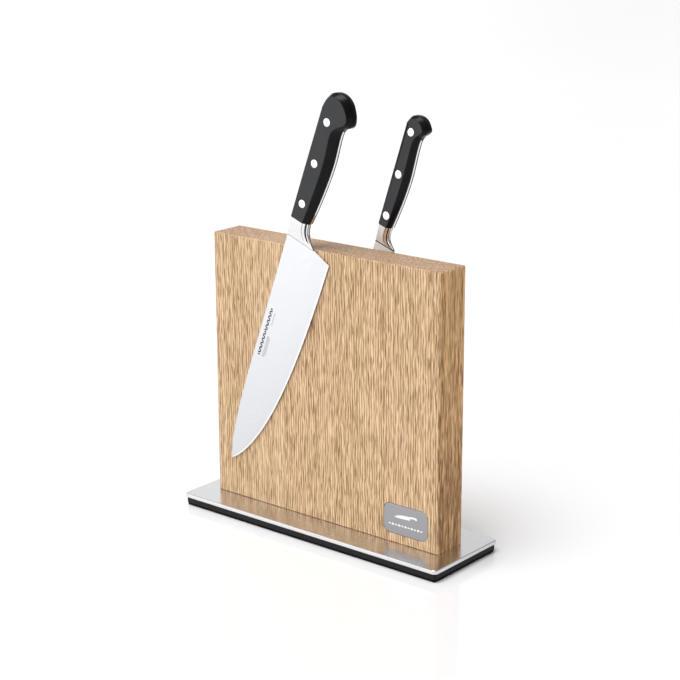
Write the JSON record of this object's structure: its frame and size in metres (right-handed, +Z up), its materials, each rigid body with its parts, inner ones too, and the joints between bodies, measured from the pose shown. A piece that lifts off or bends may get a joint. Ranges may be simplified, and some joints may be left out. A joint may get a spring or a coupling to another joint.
{
  "type": "magnetic knife rack",
  "caption": "Free-standing double-sided magnetic knife rack: an upright oak block on a brushed steel base, with a chef's knife on its front and a utility knife on its rear face.",
  "frame": {"origin": "centre of the base's underside, on the surface it stands on", "axes": "+Z up; X along the block's width; -Y out of the front face, which carries the steel badge and the chef's knife"},
  "size_m": [0.287, 0.09, 0.39],
  "materials": {
    "oak": "oiled",
    "dowel_beech": "raw",
    "base_steel": "brushed",
    "badge_steel": "brushed",
    "blade_steel": "fine polished",
    "rivet_steel": "polished",
    "zinc_steel": "zinc plated",
    "keeper_steel": "bare mild steel",
    "magnet_nickel": "nickel plated",
    "insert_brass": "machined",
    "black_tray": "matte moulded",
    "anti_slip_rubber": "matte",
    "badge_glue": "adhesive film",
    "handle_polymer": "satin moulded"
  },
  "bodies": {
    "rack": {"anti_slip_sheet": "anti_slip_rubber", "base_tray": "black_tray", "base_plate": "base_steel", "base_screws": "zinc_steel", "threaded_inserts": "insert_brass", "front_oak_panel": "oak", "rear_oak_panel": "oak", "front_magnets": "magnet_nickel", "rear_magnets": "magnet_nickel", "front_keeper_discs": "keeper_steel", "rear_keeper_discs": "keeper_steel", "alignment_dowels": "dowel_beech", "badge_adhesive": "badge_glue", "steel_badge": "badge_steel"},
    "chef_knife": {"chef_knife_forging": "blade_steel", "chef_front_scale": "handle_polymer", "chef_rear_scale": "handle_polymer", "chef_rivet_studs": "rivet_steel", "chef_rivet_sockets": "rivet_steel"},
    "utility_knife": {"utility_knife_forging": "blade_steel", "utility_front_scale": "handle_polymer", "utility_rear_scale": "handle_polymer", "utility_rivet_studs": "rivet_steel", "utility_rivet_sockets": "rivet_steel"}
  },
  "joints": [
    {"name": "chef_knife_lift_off", "type": "slide", "parent": "rack", "child": "chef_knife", "axis": [0, -1, 0], "range_m": [0, 0.12]},
    {"name": "utility_knife_lift_off", "type": "slide", "parent": "rack", "child": "utility_knife", "axis": [0, 1, 0], "range_m": [0, 0.12]}
  ]
}
